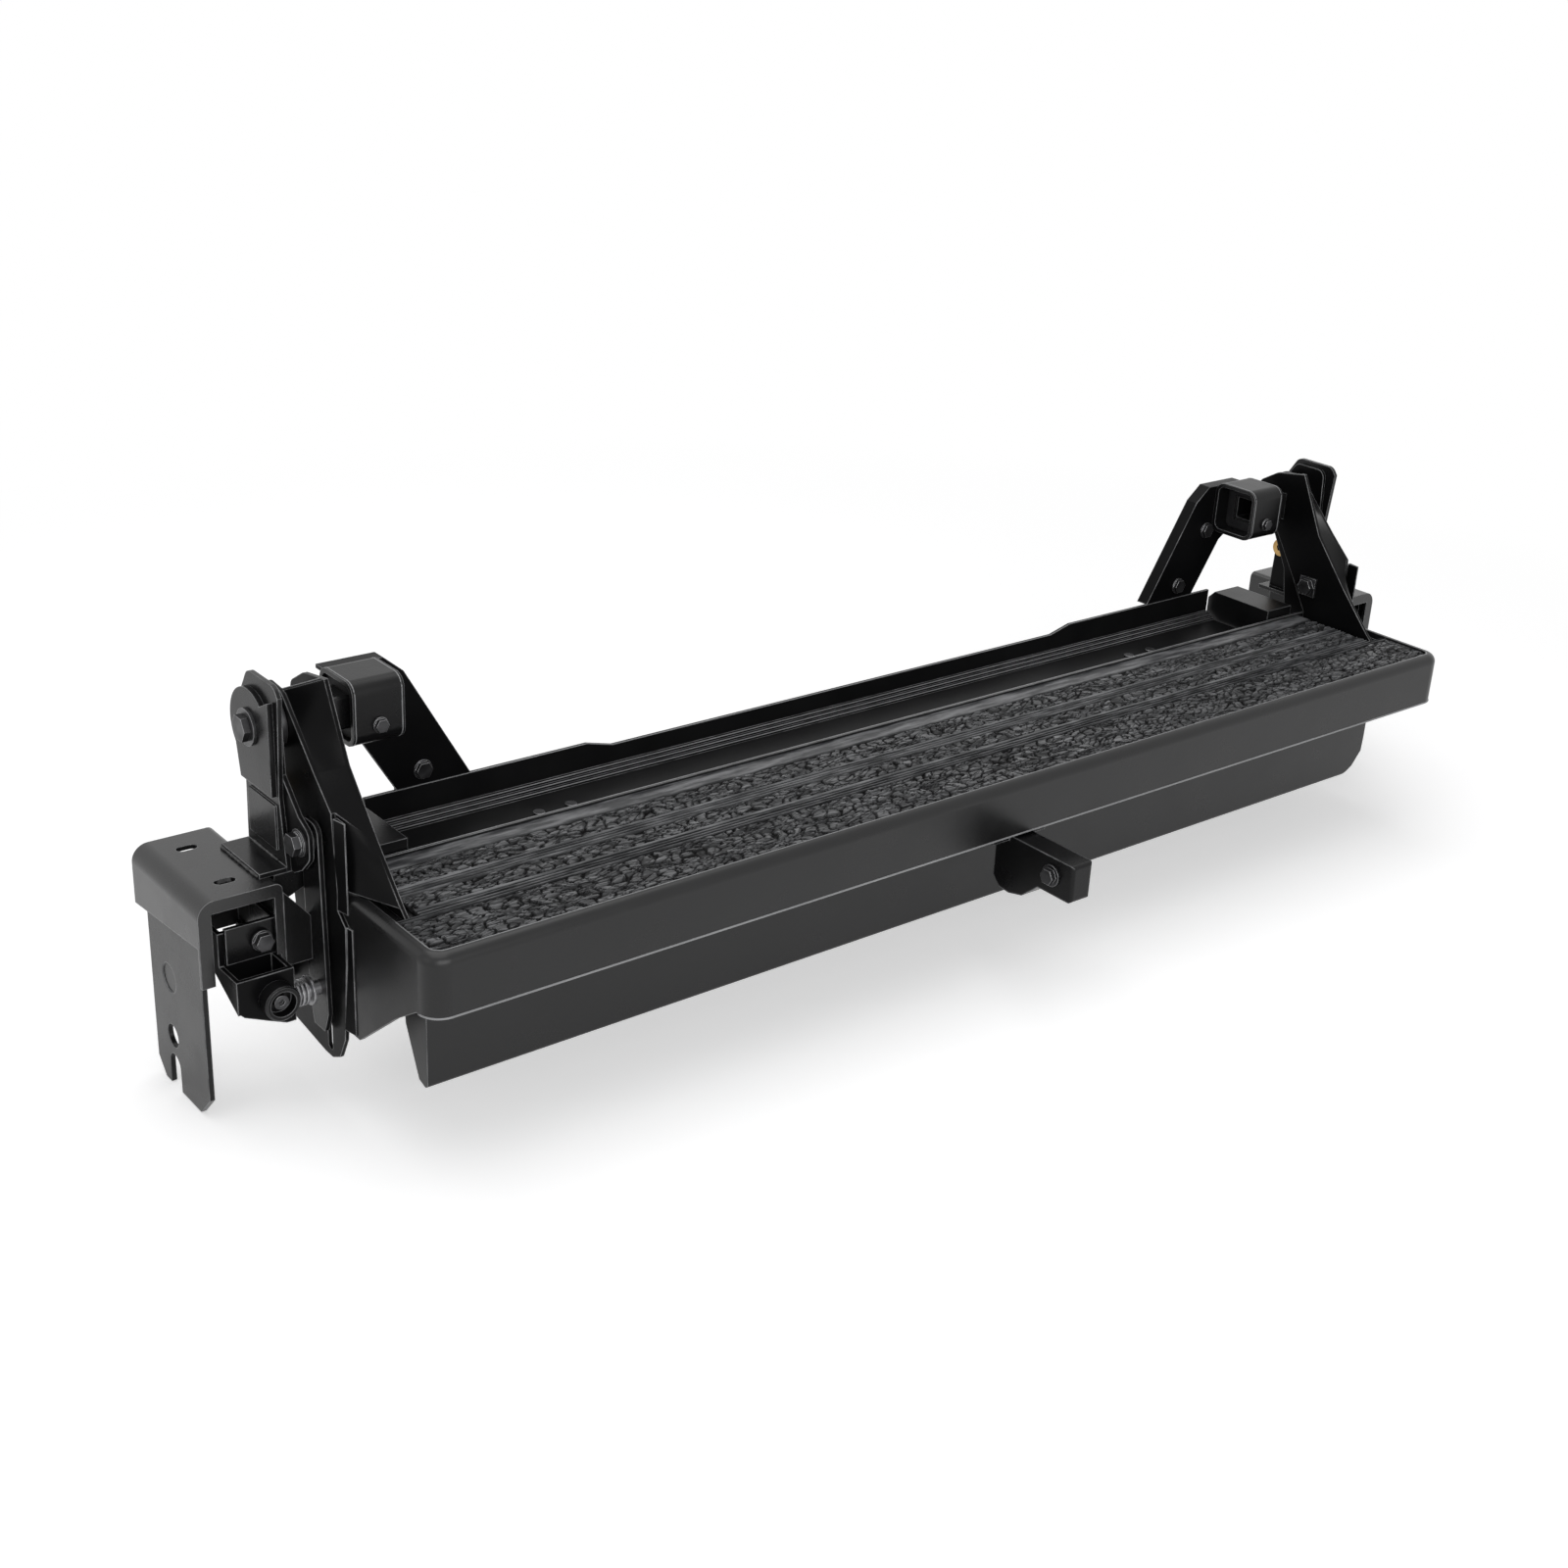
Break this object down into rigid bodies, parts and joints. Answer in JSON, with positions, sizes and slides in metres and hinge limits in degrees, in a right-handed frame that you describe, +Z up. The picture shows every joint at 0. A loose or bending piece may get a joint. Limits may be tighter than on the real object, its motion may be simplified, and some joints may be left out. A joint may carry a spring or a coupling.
{
  "type": "retractable bed step",
  "caption": "Full-width folding step for the rear of a truck: a matted tread tray with a grooved rail on folded side arms, hinged between bolt-on end brackets with turning-knob latches.",
  "frame": {"origin": "middle of the four mounting slots, on the top faces of the two mount channels", "axes": "+X along the step's length to the right-hand bracket as seen by a person facing the step, -Y towards that person, +Z up, out of the channels' tops"},
  "size_m": [1.402, 0.356, 0.345],
  "materials": {
    "frame_coat": "satin",
    "step_coat": "satin",
    "moulded_plastic": "satin",
    "mat_rubber": "matte",
    "dark_rubber": "matte",
    "dark_zinc": "satin",
    "plain_steel": "satin",
    "washer_steel": "satin",
    "brass": "satin"
  },
  "bodies": {
    "mount_frame": {"left_mount_channel": "frame_coat", "right_mount_channel": "frame_coat", "left_slotted_tab": "frame_coat", "right_slotted_tab": "frame_coat", "left_clip_angle": "frame_coat", "right_clip_angle": "frame_coat", "left_pivot_shelf": "frame_coat", "right_pivot_shelf": "frame_coat", "left_pivot_upright": "frame_coat", "right_pivot_upright": "frame_coat", "left_pivot_cap_plate": "frame_coat", "right_pivot_cap_plate": "frame_coat", "left_upright_inner_plate": "frame_coat", "right_upright_inner_plate": "frame_coat", "left_support_strap": "frame_coat", "right_support_strap": "frame_coat", "left_strap_bridge": "frame_coat", "right_strap_bridge": "frame_coat", "left_latch_bracket": "frame_coat", "right_latch_bracket": "frame_coat", "left_latch_spring": "plain_steel", "right_latch_spring": "plain_steel", "clip_bolts": "dark_zinc", "strap_bolts": "dark_zinc", "stop_bumpers": "dark_rubber", "brass_bushings": "brass", "friction_washers": "washer_steel"},
    "step": {"left_side_arm": "step_coat", "right_side_arm": "step_coat", "left_box_clamp": "moulded_plastic", "right_box_clamp": "moulded_plastic", "left_clamp_liner": "dark_rubber", "right_clamp_liner": "dark_rubber", "left_rear_arm": "step_coat", "right_rear_arm": "step_coat", "left_rail_end_cap": "moulded_plastic", "right_rail_end_cap": "moulded_plastic", "left_pivot_tube": "step_coat", "right_pivot_tube": "step_coat", "tube_plugs": "plain_steel", "pivot_bolts": "dark_zinc", "pad_bolts": "dark_zinc", "clamp_bolts": "dark_zinc", "arm_bolts": "dark_zinc", "rear_rail": "step_coat", "floor_screws": "dark_zinc", "tread_tray": "step_coat", "tread_mat": "mat_rubber", "kick_pan": "step_coat", "pull_lug": "step_coat", "lug_bolt": "dark_zinc", "lug_screws": "dark_zinc"},
    "left_release": {"left_release_knob": "moulded_plastic", "left_release_crank": "plain_steel", "left_knob_screw": "dark_zinc"},
    "left_latch": {"left_latch_pin": "plain_steel"},
    "right_release": {"right_release_knob": "moulded_plastic", "right_release_crank": "plain_steel", "right_knob_screw": "dark_zinc"},
    "right_latch": {"right_latch_pin": "plain_steel"}
  },
  "joints": [
    {"name": "step_fold", "type": "hinge", "parent": "mount_frame", "child": "step", "pos_m": [0, -0.002, 0.106], "axis": [1, 0, 0], "range_deg": [-90, 0]},
    {"name": "left_knob_turn", "type": "hinge", "parent": "mount_frame", "child": "left_release", "pos_m": [-0.652, -0.081, -0.083], "axis": [0, 1, 0], "range_deg": [-62, 0]},
    {"name": "left_latch_slide", "type": "slide", "parent": "mount_frame", "child": "left_latch", "axis": [1, 0, 0], "range_m": [0, 0.006], "deforming": ["left_latch_spring"]},
    {"name": "right_knob_turn", "type": "hinge", "parent": "mount_frame", "child": "right_release", "pos_m": [0.652, -0.081, -0.083], "axis": [0, 1, 0], "range_deg": [0, 62]},
    {"name": "right_latch_slide", "type": "slide", "parent": "mount_frame", "child": "right_latch", "axis": [1, 0, 0], "range_m": [-0.006, 0], "deforming": ["right_latch_spring"]}
  ],
  "couplings": [
    {"joint": "left_knob_turn", "follows": "left_latch_slide", "rad_per_m": -174.53},
    {"joint": "right_knob_turn", "follows": "right_latch_slide", "rad_per_m": -174.53}
  ]
}
